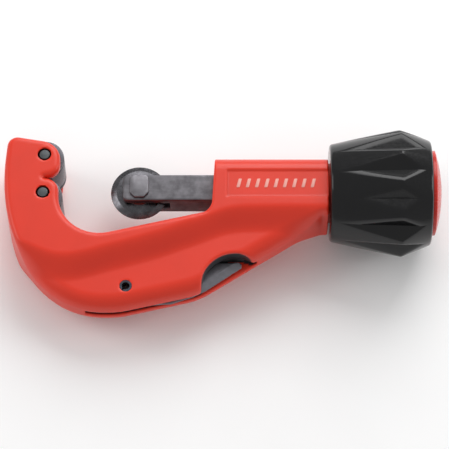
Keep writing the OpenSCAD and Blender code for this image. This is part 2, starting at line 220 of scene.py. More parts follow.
def soften(profile, radius, steps=4, closed=True):
    """A profile with each corner replaced by a parabola that is tangent to both sides.

    It starts and ends radius * tan(turn / 2) from the corner, at most 0.45 of the shorter side,
    and a corner that is nearly straight stays as it is.
    """
    pts = np.asarray(profile, float)
    n, out = len(pts), []
    for i, q in enumerate(pts):
        if not closed and i in (0, n - 1):
            out.append(q[None])
            continue
        a, b = pts[i - 1] - q, pts[(i + 1) % n] - q
        la, lb = np.linalg.norm(a), np.linalg.norm(b)
        a, b = a / la, b / lb
        half = math.acos(np.clip(a @ b, -1, 1)) / 2
        if half > STRAIGHT:
            out.append(q[None])
            continue
        reach = min(radius / math.tan(half), 0.45 * la, 0.45 * lb)
        t = np.linspace(0, 1, steps + 1)[:, None]
        p0, p2 = q + a * reach, q + b * reach
        out.append((1 - t) ** 2 * p0 + 2 * t * (1 - t) * q + t**2 * p2)
    return np.concatenate(out)


def turned(profile, centre, along="Z", segments=96):
    """Points and faces of a closed profile of (radius, height) carried round an axis.

    A point is centre + radius * (cos a, sin a) across the axis + height along it.
    """
    prof = np.asarray(profile)
    a = np.linspace(0, 2 * np.pi, segments, endpoint=False)
    r, h = prof[:, 0, None], prof[:, 1, None]
    across, up, high = r * np.cos(a), r * np.sin(a), np.broadcast_to(h, (len(prof), segments))
    order = (across, up, high) if along == "Z" else (high, across, up)
    points = np.stack(order, -1).reshape(-1, 3) + np.asarray(centre)
    return points, grid_faces(len(prof), segments, closed_rows=True)


def capped(profile, centre, along="Z", segments=96):
    """Like turned, but the profile runs from axis to axis, and its two ends close in one point each."""
    prof = np.asarray(profile)
    points, _ = turned(prof[1:-1], centre, along, segments)
    rows = len(prof) - 2
    faces = grid_faces(rows, segments)
    tips = [np.array([0, 0, h]) if along == "Z" else np.array([h, 0, 0]) for h in (prof[0, 1], prof[-1, 1])]
    points = np.concatenate([points, np.array(tips) + np.asarray(centre)])
    first, last = len(points) - 2, len(points) - 1
    j = np.arange(segments)
    k = (j + 1) % segments
    faces += np.stack([np.full(segments, first), k, j], -1).tolist()
    base = (rows - 1) * segments
    faces += np.stack([np.full(segments, last), base + j, base + k], -1).tolist()
    return points, faces


def outline_distance(x, y, outline):
    """Signed distance of points to a closed outline, negative inside.

    The size is the shortest distance to any side, and the sign comes from counting the
    sides that a ray along +X crosses.
    """
    a, b = outline, np.roll(outline, -1, 0)
    flat_x, flat_y = np.ravel(x), np.ravel(y)
    result = np.empty(len(flat_x))
    for start in range(0, len(flat_x), CHUNK):
        px, py = flat_x[start : start + CHUNK, None], flat_y[start : start + CHUNK, None]
        ex, ey = b[:, 0] - a[:, 0], b[:, 1] - a[:, 1]
        wx, wy = px - a[:, 0], py - a[:, 1]
        t = np.clip((wx * ex + wy * ey) / (ex * ex + ey * ey), 0, 1)
        d2 = ((wx - t * ex) ** 2 + (wy - t * ey) ** 2).min(1)
        over = (a[:, 1] > py) != (b[:, 1] > py)
        left = (wx * ey - wy * ex) * np.sign(ey) < 0
        inside = (over & left).sum(1) % 2 == 1
        result[start : start + CHUNK] = np.where(inside, -1, 1) * np.sqrt(d2)
    return result.reshape(np.shape(x))


def lattice_cell(size):
    return size * 1


def surface_net(field, low, high, cell):
    """The surface where field is 0, as a net of quads with one vertex in each lattice cell it crosses.

    A vertex starts at the mean of the crossings on its cell's edges, and Newton steps along
    the field's gradient then put it on the surface itself.
    """
    axes = [np.arange(lo - 1.5 * cell, hi + 1.5 * cell, cell) for lo, hi in zip(low, high)]
    x, y, z = np.meshgrid(*axes, indexing="ij", sparse=True)
    f = field(x, y, z)
    shape = tuple(n - 1 for n in f.shape)
    total, count = np.zeros(shape + (3,)), np.zeros(shape)
    corner = lambda o: f[tuple(slice(k, k + n) for k, n in zip(o, shape))]
    for axis in range(3):
        others = [k for k in range(3) if k != axis]
        for u in (0, 1):
            for v in (0, 1):
                o = [0, 0, 0]
                o[others[0]], o[others[1]] = u, v
                f0 = corner(o)
                o[axis] = 1
                f1 = corner(o)
                o[axis] = 0
                cross = (f0 < 0) != (f1 < 0)
                t = np.where(cross, f0 / np.where(cross, f0 - f1, 1), 0)
                for k in range(3):
                    total[..., k] += cross * (t if k == axis else o[k])
                count += cross
    used = count > 0
    number = np.full(shape, -1)
    number[used] = np.arange(used.sum())
    points = np.argwhere(used) + total[used] / count[used, None]
    points = points * cell + np.array([a[0] for a in axes])
    faces = []
    for axis in range(3):
        b, c = (axis + 1) % 3, (axis + 2) % 3
        inside = f < 0
        near = [slice(1, -1)] * 3
        near[axis] = slice(0, -1)
        far = list(near)
        far[axis] = slice(1, None)
        change = inside[tuple(near)] != inside[tuple(far)]
        node = np.argwhere(change)
        node[:, b] += 1
        node[:, c] += 1
        back_b, back_c = np.eye(3, dtype=int)[b], np.eye(3, dtype=int)[c]
        steps = (back_b + back_c, back_c, 0 * back_b, back_b)
        quad = np.stack([number[tuple((node - s).T)] for s in steps], -1)
        leaving = inside[tuple(near)][change]
        faces.append(np.where(leaving[:, None], quad, quad[:, ::-1]))
    for _ in range(NEWTON_STEPS):
        points = to_surface(field, points, cell)
    return points, np.concatenate(faces).tolist()


def to_surface(field, points, cell):
    """One Newton step: each point moves by -f * gradient / |gradient|^2, at most half a cell.

    |gradient|^2 is taken as at least 0.2, so that a point on a flat stretch stays near.
    """
    at = lambda p: field(p[:, 0], p[:, 1], p[:, 2])
    f = at(points)
    slope = np.stack([(at(points + PROBE * np.eye(3)[k]) - f) / PROBE for k in range(3)], -1)
    size = np.maximum((slope**2).sum(1), 0.2)
    move = -slope * (f / size)[:, None]
    far = np.linalg.norm(move, axis=1, keepdims=True)
    return points + move * np.minimum(1, 0.5 * cell / np.maximum(far, 1e-9))


def smooth_max(a, b, r):
    """The larger of two fields, with the edge between them rounded over a width r."""
    h = np.maximum(r - np.abs(a - b), 0) / r
    return np.maximum(a, b) + h * h * r / 4


def smooth_min(a, b, r):
    """The smaller of two values, with the edge between them rounded over a width r."""
    return -smooth_max(-a, -b, r)


def box_field(x, y, z, low, high):
    """Signed distance to a box, with sharp corners."""
    middle, half = (np.array(low) + high) / 2, (np.array(high) - low) / 2
    q = [np.abs(v - m) - h for v, m, h in zip((x, y, z), middle, half)]
    return np.maximum(np.maximum(q[0], q[1]), q[2])


def rise(t):
    """0 up to t = 0 and 1 from t = 1, along 3 t^2 - 2 t^3 between them."""
    t = np.clip(t, 0, 1)
    return t * t * (3 - 2 * t)


# ---------------------------------------------------------------- the cast frame

BACK_CENTRE = np.array([20.6, 2.05])
BACK_HALF = np.array([33.8, 46.3])
BACK_POWER = 2 / 2.1
ARM_SLOPE, BELLY_SLOPE = 0.228, 0.64
ARM_Y = -17.95 - 25.2 * ARM_SLOPE
BELLY_Y = -29.75 - 65.1 * BELLY_SLOPE
HOUSING_FRONT, HOUSING_TOP, HOUSING_REAR, CHIN = 56.9, 9.4, 95.45, -11.65
FRONT_LEAN = 0.057
THROAT_X, LOBE_X = 5.05, 5.4
STEP_X = np.array([-24, -9, 6.2, 22.7, 39.2, 50.8, 62.5, 74, 86, 97, 108])
STEP_Y = np.array([-21.5, -25, -30.3, -26.8, -22, -17.6, -13.3, -12.6, -12.55, -12.55, -12.55])
CREST, FOOT = 4.0, 5.0
PIVOT = np.array([(PIVOT_LOW[0] + PIVOT_HIGH[0]) / 2, (PIVOT_LOW[1] + PIVOT_HIGH[1]) / 2])
THUMB, THUMB_R = np.array([64.3, -36.3]), 11.4
# Past ARM_CRISP in x and y the housing's edges tighten to the radius CRISP_EDGE.
ARM_CRISP, CRISP_EDGE = (52, -12), 0.7
CROWN_START, NECK_START, WAY_END = 50, 90, 98.5
NECK_R, BUSH_R, PIN_R, RECESS_R, RECESS_DEPTH, PIVOT_R = 10.0, 7.2, 1.74, 2.3, 2.6, 2.0
PANEL_START, PANEL_END, PANEL_LOW, PANEL_HIGH = 4.6, 110, -6.2, 3.5
# BEYOND lies outside the casting, and a field of NOWHERE leaves it as it is.
ROLLER_SLOT_END, BEYOND, NOWHERE = 30, 60, -10
BLADE_SLOT = np.array([
    (14.4, -50), (14.4, -37.5), (18, -33.6), (23, -31), (34, -29.4), (46, -27.4),
    (56, -24.6), (64, -23.6), (71.3, -24.6), (71.3, -50),
])
# Painted shade, the dark colour that stands in for shade inside the openings, starts at the first depth
# below and fades in over the second, and FAR_WALL is a height between the slot's two walls.
SHADE_DEPTH, SHADE_FADE, FAR_WALL = 0.5, 0.35, -1


def round_path(corners, steps):
    """Points of a path with its corners rounded by true arcs: each corner is (x, y, radius)."""
    out = []
    for (px, py, _), (qx, qy, r), (sx, sy, _) in zip(corners, corners[1:], corners[2:]):
        p, q, s = np.array([px, py]), np.array([qx, qy]), np.array([sx, sy])
        if r == 0:
            out.append(q[None])
            continue
        u, v = (p - q) / np.linalg.norm(p - q), (s - q) / np.linalg.norm(s - q)
        half = math.acos(u @ v) / 2
        middle = q + (u + v) / np.linalg.norm(u + v) * r / math.sin(half)
        a, b = q + u * r / math.tan(half) - middle, q + v * r / math.tan(half) - middle
        start = math.atan2(a[1], a[0])
        turn = math.atan2(a[0] * b[1] - a[1] * b[0], a @ b)
        angle = start + turn * np.linspace(0, 1, steps + 1)
        out.append(middle + r * np.stack([np.cos(angle), np.sin(angle)], -1))
    return np.concatenate(out)


def frame_outline():
    """The C-frame's outline: a superellipse behind the hook, then straight sides joined by arcs."""
    t = np.radians(-9 + 99 * np.linspace(0, 1, 60))
    power = lambda v: np.sign(v) * np.abs(v) ** BACK_POWER
    back = BACK_CENTRE - BACK_HALF * np.stack([power(np.cos(t)), power(np.sin(t))], -1)
    bottom = BACK_CENTRE[1] - BACK_HALF[1]
    arm = lambda x: ARM_Y + ARM_SLOPE * x
    front_y = arm(HOUSING_FRONT - 0.6)
    ear_top = (UPPER_LOW[1] + UPPER_HIGH[1]) / 2 + 5.2
    rest = round_path(
        [
            (20, bottom, 0), (25.4, bottom, 30), (52, BELLY_Y + BELLY_SLOPE * 52, 25),
            ((CHIN - BELLY_Y) / BELLY_SLOPE, CHIN, 3), (HOUSING_REAR, CHIN, 0),
            (HOUSING_REAR, HOUSING_TOP, 0), (HOUSING_FRONT + FRONT_LEAN * HOUSING_TOP, HOUSING_TOP, 0.8),
            (HOUSING_FRONT + FRONT_LEAN * front_y, front_y, 4.3), (THROAT_X, arm(THROAT_X), 13.8),
            (THROAT_X, 0.5, 4.6), (-0.6, 0.95, 0.15), (LOBE_X, 2.55, 4.2), (LOBE_X, ear_top - 0.8, 7),
            (-12.2, 16.7, 3.4), (-12.6, 12, 0),
        ],
        14,
    )
    return np.concatenate([back, rest])


def step_height(x):
    """Y of the middle of the step between the thick part and the grip: a smooth curve through its points."""
    i = np.clip(np.searchsorted(STEP_X, x, side="right") - 1, 1, len(STEP_X) - 3)
    a, b, c, d = (STEP_Y[i + k] for k in (-1, 0, 1, 2))
    t = np.clip((x - STEP_X[i]) / (STEP_X[i + 1] - STEP_X[i]), 0, 1)
    return (
        b + (c - a) * t / 2 + (a - 2.5 * b + 2 * c - d / 2) * t**2 + (1.5 * (b - c) + (d - a) / 2) * t**3
    )


def frame_field(settings):
    """Signed field of the casting, negative inside.

    A slab whose half thickness falls over the step and whose edges are rounded, less the
    roller slot, the slide's way, the bores, the badge panels, the blade slot and the thumb notch.
    """
    outline = frame_outline()
    slot_half = (REAMER_HIGH[2] - REAMER_LOW[2]) / 2 + 0.4
    roller_half = (UPPER_HIGH[2] - UPPER_LOW[2]) / 2 + 0.15
    slide_half = (SLIDE_HIGH[1] - SLIDE_LOW[1]) / 2 + 0.1
    upper = (UPPER_LOW + UPPER_HIGH)[:2] / 2
    lower = (LOWER_LOW + LOWER_HIGH)[:2] / 2

    def shell(x, y, z):
        flat = outline_distance(*np.broadcast_arrays(x, y), outline)
        thin = rise((step_height(np.broadcast_arrays(x, y)[0]) + CREST - y) / (CREST + FOOT))
        half = settings.half + (settings.grip_half - settings.half) * thin
        crisp = rise((x - ARM_CRISP[0]) / 4) * rise((y - ARM_CRISP[1]) / 3)
        edge = settings.edge + (CRISP_EDGE - settings.edge) * crisp
        edge = edge + (settings.grip_edge - edge) * thin
        a, b = flat + edge, np.abs(z) - half + edge
        body = np.minimum(np.maximum(a, b), 0) + np.hypot(np.maximum(a, 0), np.maximum(b, 0)) - edge
        top = settings.top_edge
        over_y = np.maximum(y - HOUSING_TOP + top, 0)
        over_z = np.maximum(np.abs(z) - settings.half + top, 0)
        crown = np.where(x > CROWN_START, np.hypot(over_y, over_z) - top, NOWHERE)
        body = smooth_max(body, crown, 0.4)
        neck = np.maximum(np.hypot(y, z) - NECK_R, np.maximum(NECK_START - x, x - FRAME_HIGH[0]))
        return np.minimum(body, neck)

    def field(x, y, z):
        body = shell(x, y, z)
        slot_low = (LOWER_LOW[0] - 1.2, LOWER_LOW[1] - 0.9, -roller_half)
        cut = box_field(x, y, z, slot_low, (BEYOND, BEYOND, roller_half))
        body = smooth_max(body, np.where(x < ROLLER_SLOT_END, -cut, NOWHERE), 0.6)
        for px, py in (upper, lower):
            far = np.hypot(x - px, y - py)
            recess = np.minimum(RECESS_R - far, np.abs(z) - settings.half + RECESS_DEPTH)
            body = smooth_max(body, recess, 0.12)
            body = np.maximum(body, PIN_R - far)
        way_low = (HOUSING_FRONT - 4, -slide_half, -slide_half)
        way = box_field(x, y, z, way_low, (WAY_END, slide_half, slide_half))
        body = smooth_max(body, -way, 0.5)
        body = np.maximum(body, -np.maximum(np.hypot(y, z) - BUSH_R, WAY_END - x))
        panel_low = (HOUSING_FRONT + PANEL_START, PANEL_LOW, settings.half - settings.badge)
        panel = box_field(x, y, np.abs(z), panel_low, (PANEL_END, PANEL_HIGH, 30))
        body = smooth_max(body, -panel, 0.25)
        blade = np.maximum(outline_distance(*np.broadcast_arrays(x, y), BLADE_SLOT), np.abs(z) - slot_half)
        body = smooth_max(body, -blade, 0.5)
        thumb = np.maximum(np.hypot(x - THUMB[0], y - THUMB[1]) - THUMB_R, -z)
        body = smooth_max(body, -thumb, 0.9)
        bore = PIVOT_R - np.hypot(x - PIVOT[0], y - PIVOT[1])
        return smooth_max(body, bore, 0.4)

    return field, shell


def build_frame(settings):
    """The casting, a point attribute that tells where painted shade darkens its openings, and the marks on
    its panels.
    """
    field, shell = frame_field(settings)
    points, faces = surface_net(field, FRAME_LOW, FRAME_HIGH, lattice_cell(settings.cell))
    coat = powder_coat(settings.colour, settings.opening_shade)
    piece = make_piece("cast_frame", points, faces, "frame", coat, "red_enamel", "frame")
    # Painted shade: past a set depth into each opening the colour fades to the dark colour that stands in
    # for the shade there.
    # It is left off the part of the far wall's inner face that the thumb notch leaves open.
    depth = -shell(points[:, 0], points[:, 1], points[:, 2])
    from_thumb = np.hypot(points[:, 0] - THUMB[0], points[:, 1] - THUMB[1])
    unshaded_far_wall = (from_thumb < THUMB_R) & (points[:, 2] < FAR_WALL)
    opening_shade = piece.data.attributes.new("opening_shade", "FLOAT", "POINT")
    opening_shade_amount = np.where(unshaded_far_wall, 0, rise((depth - SHADE_DEPTH) / SHADE_FADE))
    opening_shade.data.foreach_set("value", opening_shade_amount.astype(np.float32))
    marks(settings)


def marks(settings):
    """A plain row of slanted bars on each sunk panel, each a rounded bar 0.15 mm proud of it."""
    floor = settings.half - settings.badge
    count, pitch, start = 9, 3.1, 65.5
    bar = soften([(-0.55, -1.6), (0.55, -1.6), (0.55, 1.6), (-0.55, 1.6)], 0.35)
    bar[:, 0] += 0.25 * bar[:, 1]
    n = len(bar)
    points, faces = [], []
    for side in (1, -1):
        for i in range(count):
            inner = bar * (0.9, 0.97)
            rings = [(bar, floor - 0.1), (bar, floor + 0.1), (inner, floor + 0.15)]
            base = sum(len(p) for p in points)
            for ring, z in rings:
                xy = ring + (start + pitch * i, -1.3)
                points.append(np.column_stack([xy, np.full(n, side * z)]))
            loop = np.array(grid_faces(3, n)) + base
            ends = [list(range(base + 2 * n, base + 3 * n)), list(range(base + n - 1, base - 1, -1))]
            block = loop.tolist() + ends
            faces += block if side > 0 else [f[::-1] for f in block]
    ink = mark_paint(settings.mark)
    make_piece("panel_marks", np.concatenate(points), faces, "frame", ink, "red_enamel")


# ---------------------------------------------------------------- rollers, slide and wheel


# Distances of a groove's four corners from the roller's end face.
GROOVE_CORNERS = (1.2, 1.3, 1.8, 1.9)
SLIDE_CELL = 0.35
SCREW_BORE_R = 3.05
AXLE_R = 2.2


def build_rollers(settings):
    """Each roller is a turned profile with two grooves; its pin is a turned bar."""
    steel, pin_steel = ground_steel(settings.ground), dark_steel()
    for name in ("upper", "lower"):
        low, high = extent("roller_" + name)
        centre, radius, half = (low + high) / 2, (high[0] - low[0]) / 2, (high[2] - low[2]) / 2
        pin_low, pin_high = extent("roller_pin_" + name)
        pin_r, pin_half = (pin_high[0] - pin_low[0]) / 2, (pin_high[2] - pin_low[2]) / 2
        bore, deep = pin_r + 0.05, radius - settings.groove
        near = [(bore, -half), (radius, -half)]
        near += [(r, -half + h) for r, h in zip((radius, deep, deep, radius), GROOVE_CORNERS)]
        profile = soften(near + [(r, -h) for r, h in near[::-1]], 0.3)
        points, faces = turned(profile, centre)
        node = "roller_" + name
        make_piece("guide_roller_" + name, points, faces, node, steel, "ground_steel", node)
        bar = [(0, -pin_half), (pin_r, -pin_half), (pin_r, pin_half), (0, pin_half)]
        bar = soften(bar, 0.3, closed=False)
        points, faces = capped(bar, centre)
        make_piece("pin_" + name, points, faces, "frame", pin_steel, "pin_steel", "roller_pin_" + name)


def build_slide(settings):
    """The square slide: a rounded bar less the wheel's slot and the screw's bore."""
    half = (SLIDE_HIGH[1] - SLIDE_LOW[1]) / 2
    wheel_x = (WHEEL_LOW[0] + WHEEL_HIGH[0]) / 2
    slot_half = (WHEEL_HIGH[2] - WHEEL_LOW[2]) / 2 + 0.15
    slot_end = WHEEL_HIGH[0] + 0.65
    corner = 2.0

    def field(x, y, z):
        r = settings.edge
        ahead, beside = np.minimum(x - SLIDE_LOW[0] - corner, 0), np.maximum(np.abs(y) - half + corner, 0)
        front = np.hypot(ahead, beside) - corner
        flat = np.maximum(np.maximum(front, np.abs(y) - half), x - SLIDE_HIGH[0])
        a, b = flat + r, np.abs(z) - half + r
        bar = np.minimum(np.maximum(a, b), 0) + np.hypot(np.maximum(a, 0), np.maximum(b, 0)) - r
        over_y, over_z = np.maximum(np.abs(y) - half + r, 0), np.maximum(np.abs(z) - half + r, 0)
        bar = np.maximum(bar, np.hypot(over_y, over_z) - r)
        bar = smooth_max(bar, -np.maximum(np.abs(z) - slot_half, x - slot_end), 0.35)
        return np.maximum(bar, -np.maximum(np.hypot(y, z) - SCREW_BORE_R, slot_end + 1.2 - x))

    points, faces = surface_net(field, SLIDE_LOW, SLIDE_HIGH, lattice_cell(SLIDE_CELL))
    oxide, lighter_oxide = black_oxide(settings.oxide), axle_finish(settings.head)
    make_piece("square_slide", points, faces, "slide", oxide, "black_oxide_steel", "feed_slide")
    low, high = extent("wheel_axle")
    shank = soften([(0, low[2]), (AXLE_R, low[2]), (AXLE_R, half), (0, half)], 0.2, closed=False)
    points, faces = capped(shank, (wheel_x, 0, 0))
    head, head_faces = axle_head(wheel_x, half, high[2])
    faces += [[i + len(points) for i in face] for face in head_faces]
    points = np.concatenate([points, head])
    make_piece("axle_pin", points, faces, "slide", lighter_oxide, "black_oxide_steel", "wheel_axle")


def axle_head(wheel_x, low, high):
    """The axle's head: an eight-sided outline, corners rounded, carried up and drawn in by an arc."""
    corners = [
        (3.2, -2), (3.2, 3.4), (2.2, 4.4), (-2.2, 4.4), (-3.2, 3.4), (-3.2, -2), (-1.6, -3.8), (1.6, -3.8),
    ]
    outline = soften(corners, 0.9)
    middle = outline.mean(0)
    turn = np.linspace(0, np.pi / 2, 5)
    radius = 0.3
    steps = np.concatenate([[0], radius * (1 - np.cos(turn))])
    heights = np.concatenate([[low - 0.05], high - radius + radius * np.sin(turn)])
    n, head_r = len(outline), 3.4
    rings = [
        np.column_stack([middle + (outline - middle) * (1 - s / head_r), np.full(n, h)])
        for s, h in zip(steps, heights)
    ]
    faces = grid_faces(len(rings), n)
    faces += [list(range(n - 1, -1, -1)), list(range((len(rings) - 1) * n, len(rings) * n))]
    return np.concatenate(rings) + (wheel_x, 0, 0), faces


def wheel_profile(soft):
    """Profile of a cutter wheel: a hub, a flat web and a long bevel down to the edge."""
    radius = (WHEEL_HIGH[0] - WHEEL_LOW[0]) / 2
    hub, bore, shoulder = (WHEEL_HIGH[2] - WHEEL_LOW[2]) / 2, 2.35, 4.6
    side = [(bore, -hub), (shoulder, -hub), (shoulder + 0.3, -1.35), (radius - 1.9, -1.08), (radius, -0.06)]
    return soften(side + [(r, -h) for r, h in side[::-1]], soft)


def build_wheels(settings):
    """The cutter wheel on its axle and the spare one under the cap."""
    steel = tool_steel(settings.wheel)
    centre = ((WHEEL_LOW[0] + WHEEL_HIGH[0]) / 2, 0, 0)
    points, faces = turned(wheel_profile(settings.soften), centre, segments=192)
    make_piece("cutting_wheel", points, faces, "wheel", steel, "tool_steel", "cutter_wheel")
    low, high = extent("spare_wheel")
    points, faces = turned(wheel_profile(settings.soften), ((low[0] + high[0]) / 2, 0, 0), "X", 192)
    make_piece("stored_wheel", points, faces, "cap", steel, "tool_steel", "spare_wheel")


# ---------------------------------------------------------------- handwheel and cap


ROW_STEP = 0.34


def build_handwheel(settings):
    """Handwheel surface over (profile, angle).

    Its radius is the smaller of a double cone and of the recess, which is the largest of the
    four planes through the recess's deepest point. Columns follow the recess's edge.
    """
    start, end = KNOB_LOW[0], KNOB_HIGH[0]
    ridge, top = start + settings.ridge, RIDGE_R
    bottom = top - settings.depth
    front_x, rear_x = start + 1.9, end - 3.0
    skin = lambda x: np.where(
        x < ridge,
        settings.front + (top - settings.front) * (x - start) / (ridge - start),
        top - (top - settings.rear) * (x - ridge) / (end - ridge),
    )
    hollow_front, hollow_rear, web_bore = 10.1, 12.6, 6.5
    web_front, web_rear = (corner[0] for corner in extent("knob_insert"))
    corners = [
        (start, hollow_front), (start, settings.front), (ridge, top),
        (end, settings.rear), (end, hollow_rear),
    ]
    outer = soften(corners, 1.3, 8, closed=False)
    dense = []
    for p, q in zip(outer, outer[1:]):
        n = max(1, int(abs(q[0] - p[0]) / ROW_STEP))
        dense.append(p + (q - p) * np.arange(n)[:, None] / n)
    inner = [
        (end, hollow_rear), (web_rear, hollow_rear), (web_rear, web_bore), (web_front, web_bore),
        (web_front, hollow_front),
    ]
    profile = np.concatenate(dense + [np.array(inner)])
    x, r = profile[:, 0, None], profile[:, 1, None]

    sector = math.pi / settings.flutes
    inside = np.array([0, 0.12, 0.3, 0.5, 0.68, 0.82, 0.91, 0.965, 1])
    outside = np.array([0.06, 0.14, 0.28, 0.5, 0.75])
    spread = np.where(x < ridge, (x - front_x) / (ridge - front_x), (rear_x - x) / (rear_x - ridge))
    edge = settings.half_angle * np.clip(spread, 0.03, 1)
    half = np.concatenate([edge * inside, edge + (sector - edge) * outside, edge * 0 + sector], 1)
    across = np.concatenate([-half[:, ::-1][:, :-1], half[:, :-1]], 1)[:, 1:]
    across = np.concatenate([across, edge * 0 + sector], 1)

    deep = np.array([ridge, 0, bottom])
    side = np.array([ridge, top * math.sin(settings.half_angle), top * math.cos(settings.half_angle) + 0.12])
    recess = None
    for tip_x in (front_x, rear_x):
        tip = np.array([tip_x, 0, float(skin(tip_x))])
        n = np.cross(tip - deep, side - deep)
        rho = (n @ deep - n[0] * x) / (n[1] * np.sin(np.abs(across)) + n[2] * np.cos(across))
        recess = rho if recess is None else smooth_max(recess, rho, 0.35)
    outside_row = np.arange(len(profile))[:, None] < len(profile) - len(inner)
    radius = np.where(outside_row & (r > bottom - 4), smooth_min(r, recess, 0.9), r)
    rows, flutes = len(profile), settings.flutes
    angle = across[:, None, :] + (2 * sector * np.arange(flutes))[None, :, None]
    angle = angle.reshape(rows, -1)
    radius = np.broadcast_to(radius[:, None, :], (rows, flutes, across.shape[1])).reshape(rows, -1)
    points = np.stack([np.broadcast_to(x, angle.shape), radius * np.sin(angle), radius * np.cos(angle)], -1)
    faces = grid_faces(rows, angle.shape[1], closed_rows=True)
    plastic = moulded_black(settings.colour)
    make_piece("hand_wheel", points.reshape(-1, 3), faces, "handwheel", plastic, "black_plastic", "knob")


def build_cap(settings):
    """The cap: a short rim, a shallow dome of one arc, a skirt and a post."""
    radius, start, end = (CAP_HIGH[1] - CAP_LOW[1]) / 2, KNOB_HIGH[0] + 0.1, CAP_HIGH[0]
    rim = 1.3
    dome = end - start - rim
    ball = (radius**2 + dome**2) / (2 * dome)
    y = radius * np.linspace(1, 0, 14)
    arc = np.column_stack([y, start + rim + np.sqrt(ball**2 - y**2) - ball + dome])
    screw_end = extent("spare_wheel")[1][0] + 0.1
    post_r, skirt_in, skirt_out, skirt_end = 3.6, 11.2, 12.5, start - 2.6
    back = [
        (0, screw_end), (post_r, screw_end), (post_r, start), (skirt_in, start), (skirt_in, skirt_end),
        (skirt_out, skirt_end), (skirt_out, start), (radius, start),
    ]
    profile = soften(back + arc.tolist(), 0.35, closed=False)
    points, faces = capped(profile, (0, 0, 0), "X", 128)
    make_piece("end_cap", points, faces, "cap", moulded_red(settings.cap), "red_plastic", "knob_cap")


# ---------------------------------------------------------------- reamer


BLADE_CELL = 0.35


def build_reamer(settings):
    """The blade: a flat plate with a round tang, ground thin towards its lower edge."""
    px, py = PIVOT
    outline = np.array([
        (px + 0.9, py - 4.5), (43, -40.6), (50, -38.1), (54.4, -35.9), (66.3, -27.6), (66.3, -26.3),
        (65.6, -25.8), (57.5, -26), (48, -29.2), (40, -31), (31, -32.6), (px + 1.2, py + 4.4),
    ])
    lower = outline[1:5]
    half = (REAMER_HIGH[2] - REAMER_LOW[2]) / 2
    tang_r, pin_hole_r, thin, grind_start = 4.6, 2.05, 0.18, 36

    def field(x, y, z):
        flat = outline_distance(*np.broadcast_arrays(x, y), outline)
        tang = np.hypot(x - px, y - py) - tang_r
        flat = smooth_min(flat, tang, 0.5)
        edge = -np.inf
        for a, b in zip(lower, lower[1:]):
            n = np.array([b[1] - a[1], a[0] - b[0]]) / np.hypot(*(b - a))
            edge = np.maximum(edge, (x - a[0]) * n[0] + (y - a[1]) * n[1])
        ground = np.where(x > grind_start, np.clip(1 + edge / settings.grind, 0, 1), 0)
        thick = half - (half - thin) * ground
        plate = smooth_max(flat, np.abs(z) - thick, 0.2)
        return np.maximum(plate, pin_hole_r - np.hypot(x - px, y - py))

    points, faces = surface_net(field, REAMER_LOW, REAMER_HIGH, lattice_cell(BLADE_CELL))
    steel = blade_steel(settings.colour)
    make_piece("folding_blade", points, faces, "reamer", steel, "blade_steel", "reamer_blade")


# ---------------------------------------------------------------- materials


def add_node(tree, kind, inputs=None, **settings):
    """Adds a node, sets its properties, and fills its sockets with values or links."""
    node = tree.nodes.new("ShaderNode" + kind)
    for key, value in settings.items():
        setattr(node, key, value)
    for key, value in (inputs or {}).items():
        if isinstance(value, bpy.types.NodeSocket):
            tree.links.new(value, node.inputs[key])
        else:
            node.inputs[key].default_value = value
    return node


def rgba(colour):
    return (*colour[:3], 1.0)


def shade(colour, factor):
    return tuple(min(1.0, c * factor) for c in colour[:3]) + (1.0,)


def start_material(name, surface):
    """An empty material with a Principled surface, its tree and its place coordinates in millimetres."""
    material = bpy.data.materials.new(name)
    material.use_nodes = True
    tree = material.node_tree
    tree.nodes.clear()
    out = add_node(tree, "OutputMaterial")
    shader = add_node(tree, "BsdfPrincipled", surface)
    tree.links.new(shader.outputs[0], out.inputs["Surface"])
    place = add_node(tree, "TexCoord")
    scale = add_node(tree, "Mapping", {"Vector": place.outputs["Object"], "Scale": (1000, 1000, 1000)})
    return material, tree, shader, scale.outputs[0]


def ramp(tree, value, *stops):
    """A colour ramp with stops of (place, colour)."""
    node = add_node(tree, "ValToRGB", {"Fac": value})
    elements = node.color_ramp.elements
    while len(elements) < len(stops):
        elements.new(0.5)
    for element, (place, colour) in zip(elements, stops):
        element.position, element.color = place, colour
    return node.outputs["Color"]


def grey(v):
    return (v, v, v, 1)


def bump(tree, shader, height, distance, strength):
    """Bump of a height pattern, distance in millimetres."""
    node = add_node(tree, "Bump", {"Height": height, "Distance": distance * MM, "Strength": strength})
    tree.links.new(node.outputs[0], shader.inputs["Normal"])


def mix_colour(tree, factor, first, second):
    """A mix of two colours, each a socket or a value: inputs 0, 6 and 7 are its factor, A and B."""
    node = add_node(tree, "Mix", data_type="RGBA")
    for socket, value in zip((node.inputs[0], node.inputs[6], node.inputs[7]), (factor, first, second)):
        if isinstance(value, bpy.types.NodeSocket):
            tree.links.new(value, socket)
        else:
            socket.default_value = value
    return node.outputs[2]


